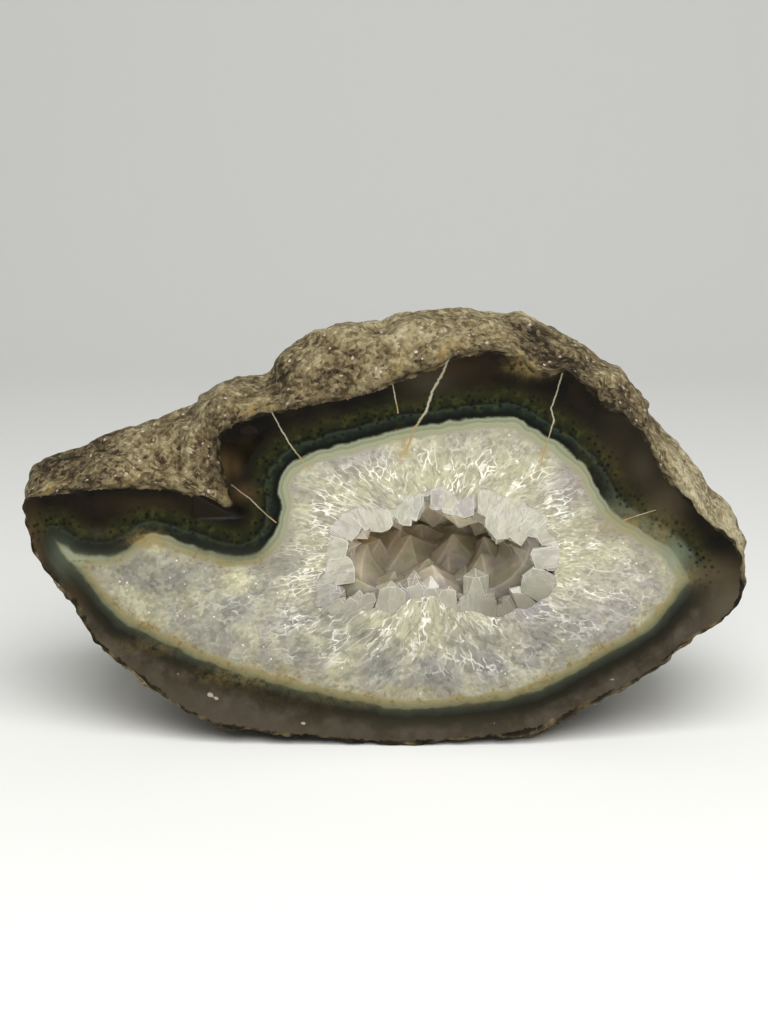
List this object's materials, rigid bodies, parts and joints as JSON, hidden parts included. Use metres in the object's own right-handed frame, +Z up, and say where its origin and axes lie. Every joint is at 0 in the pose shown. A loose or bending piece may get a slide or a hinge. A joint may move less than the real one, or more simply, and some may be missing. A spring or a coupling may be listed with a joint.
{
  "type": "druzy agate half",
  "caption": "Half of a rough agate nodule, sawn and polished on one face, with a crystal-lined hollow; stands on its rind as a display stone.",
  "frame": {"origin": "middle of the flat foot that the stone stands on", "axes": "+X along the stone's length, to the right as the polished face is seen; -Y out of the polished face; +Z up"},
  "size_m": [0.1541, 0.0624, 0.0917],
  "materials": {
    "agate": "rough brown rind, polished dark green and grey chalcedony on the sawn face",
    "quartz": "clear to milky grey-lilac quartz crystals with natural faces"
  },
  "bodies": {
    "root": {"agate_stone": "agate", "quartz_crust": "quartz"}
  },
  "joints": []
}
